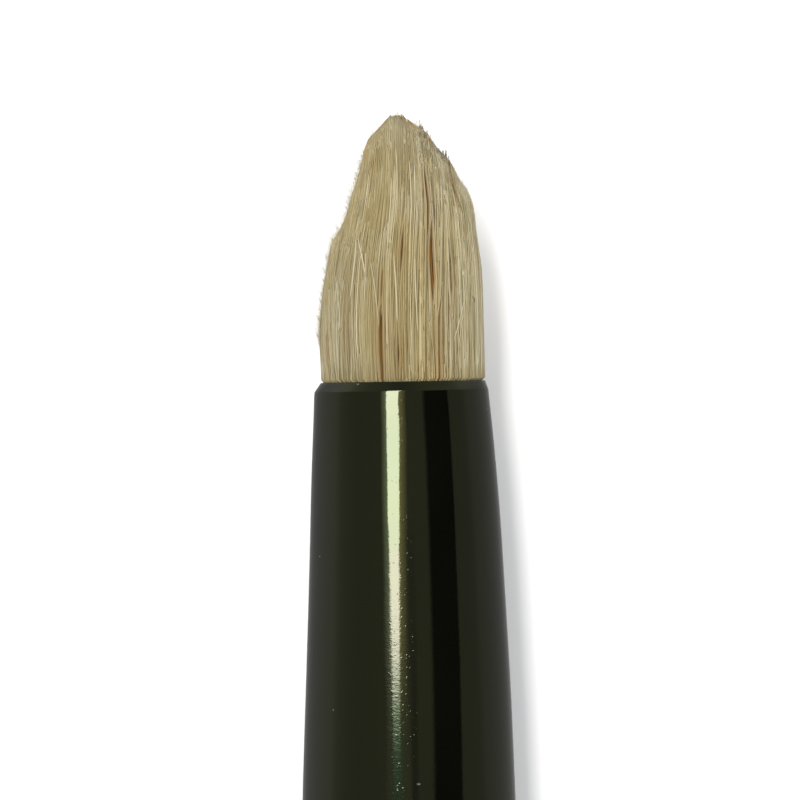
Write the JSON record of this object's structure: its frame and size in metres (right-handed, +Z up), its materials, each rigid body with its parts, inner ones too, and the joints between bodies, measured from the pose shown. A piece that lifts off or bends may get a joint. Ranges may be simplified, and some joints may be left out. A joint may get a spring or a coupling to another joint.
{
  "type": "calligraphy brush",
  "caption": "Thick calligraphy brush lying on its side: blunt hair tuft glued into a swelling lacquered barrel head with a slender shaft and a turned tail finial.",
  "frame": {"origin": "centre of the footprint on the table, under the brush as it lies on its belly and its tail knob", "axes": "+Y towards the tip of the tuft, +Z up from the table, +X to the right when seen from above with the tip pointing away"},
  "size_m": [0.0174, 0.2582, 0.0175],
  "materials": {
    "outer_hair": "pale straw coloured animal hair, dry, low sheen",
    "inner_hair": "golden brown animal hair, dry",
    "thread": "waxed linen thread",
    "seared_hair": "hair ends seared into a hard brown disc",
    "glue": "hardened amber glue",
    "lacquer": "turned wood under near black olive green gloss lacquer",
    "horn": "polished dark horn"
  },
  "bodies": {
    "handle": {"barrel_head": "lacquer", "glue_cup": "glue", "seared_root": "seared_hair", "root_thread": "thread", "joint_collar": "horn", "shaft": "lacquer", "tail_ring": "horn", "tail_finial": "lacquer"},
    "tuft": {"core_hairs": "inner_hair", "belly_hairs": "inner_hair", "mantle_hairs": "outer_hair"}
  },
  "joints": [
    {"name": "tuft_flex", "type": "hinge", "parent": "handle", "child": "tuft", "pos_m": [0, 0.1089, 0.01004], "axis": [0, -0.0223, 0.9998], "range_deg": [-50, 50], "stiffness_Nm_per_rad": 0.004, "deforming": ["core_hairs", "belly_hairs", "mantle_hairs"]}
  ]
}
